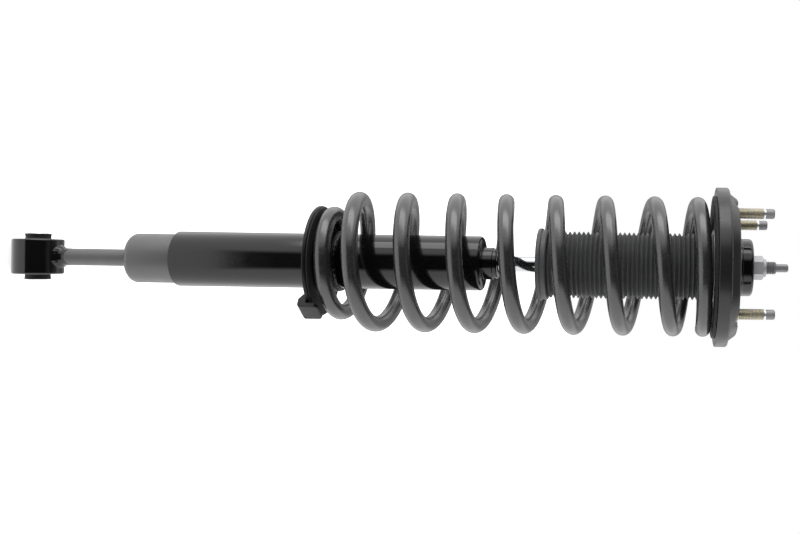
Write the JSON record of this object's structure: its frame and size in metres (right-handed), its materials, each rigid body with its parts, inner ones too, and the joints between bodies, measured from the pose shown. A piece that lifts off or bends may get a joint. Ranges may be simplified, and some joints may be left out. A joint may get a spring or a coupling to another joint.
{
  "type": "coil-over strut assembly",
  "caption": "Coil-over suspension strut: tube damper with outer coil spring, boot and bump stop, a studded plate mount on top and a rubber-bushed eye on a slim stem below.",
  "frame": {"origin": "centre of the mount plate's flat top face, on the strut's axis, where the strut seats against the car's body", "axes": "+Z along the strut's axis from the lower eye to the top mount; +X along the lower eye's bolt; -Y faces the viewer in the source picture, with +Z to the picture's right"},
  "size_m": [0.143, 0.143, 0.6955],
  "materials": {
    "plate_steel": "satin dark grey coating on pressed steel",
    "black_gloss": "gloss black paint",
    "grey_paint": "satin mid grey paint",
    "spring_coat": "satin charcoal powder coat",
    "rubber": "matt black moulded rubber",
    "boot_plastic": "satin black moulded elastomer",
    "chrome": "hard chrome, ground and polished",
    "gold_zinc": "yellow passivated zinc plate",
    "bright_zinc": "clear passivated zinc plate",
    "steel": "bare oiled steel",
    "iron": "sintered iron",
    "ptfe": "brown filled bearing plastic",
    "foam": "cream microcellular foam"
  },
  "bodies": {
    "top_mount": {"mount_plate": "plate_steel", "mount_stud_1": "gold_zinc", "mount_stud_2": "gold_zinc", "mount_stud_3": "gold_zinc", "mount_cup": "black_gloss", "mount_bush_rubber": "rubber", "mount_bush_sleeve": "steel", "upper_bush_washer": "bright_zinc", "lower_bush_washer": "steel", "rod_nut": "bright_zinc", "upper_spring_seat": "plate_steel", "upper_spring_pad": "rubber", "bump_stop_cup": "steel", "bump_stop": "foam", "dust_boot": "boot_plastic", "piston_rod": "chrome", "rebound_stop_ring": "rubber", "rebound_stop_collar": "steel", "piston_support_disc": "steel", "piston": "iron", "piston_band": "ptfe", "piston_shims": "steel", "piston_nut": "steel", "coil_spring": "spring_coat"},
    "piston_valve_disc": {"piston_intake_disc": "steel"},
    "damper_body": {"reserve_tube": "black_gloss", "base_cup": "grey_paint", "lower_stem": "grey_paint", "lower_eye_ring": "black_gloss", "lower_eye_rubber": "rubber", "lower_spring_perch": "black_gloss", "coil_stop_tab": "black_gloss", "lower_spring_pad": "rubber", "pressure_cylinder": "steel", "rod_guide": "iron", "rod_guide_bush": "ptfe", "oil_seal": "rubber", "striker_cap": "black_gloss", "base_valve_body": "iron", "base_valve_pin": "steel", "base_valve_shims": "steel"},
    "base_valve_disc": {"base_intake_disc": "steel"},
    "eye_sleeve": {"lower_eye_sleeve": "bright_zinc"}
  },
  "joints": [
    {"name": "strut_stroke", "type": "slide", "parent": "top_mount", "child": "damper_body", "axis": [0, 0, 1], "range_m": [0, 0.15], "stiffness_N_per_m": 36000, "springref_m": -0.06, "deforming": ["coil_spring", "bump_stop"]},
    {"name": "lower_sleeve_twist", "type": "hinge", "parent": "damper_body", "child": "eye_sleeve", "pos_m": [0, 0, -0.628], "axis": [1, 0, 0], "range_deg": [-20, 20], "stiffness_Nm_per_rad": 60},
    {"name": "piston_disc_lift", "type": "slide", "parent": "top_mount", "child": "piston_valve_disc", "axis": [0, 0, 1], "range_m": [0, 0.0012], "stiffness_N_per_m": 1500, "springref_m": -0.0005},
    {"name": "base_disc_lift", "type": "slide", "parent": "damper_body", "child": "base_valve_disc", "axis": [0, 0, 1], "range_m": [0, 0.0012], "stiffness_N_per_m": 1500, "springref_m": -0.0005}
  ]
}
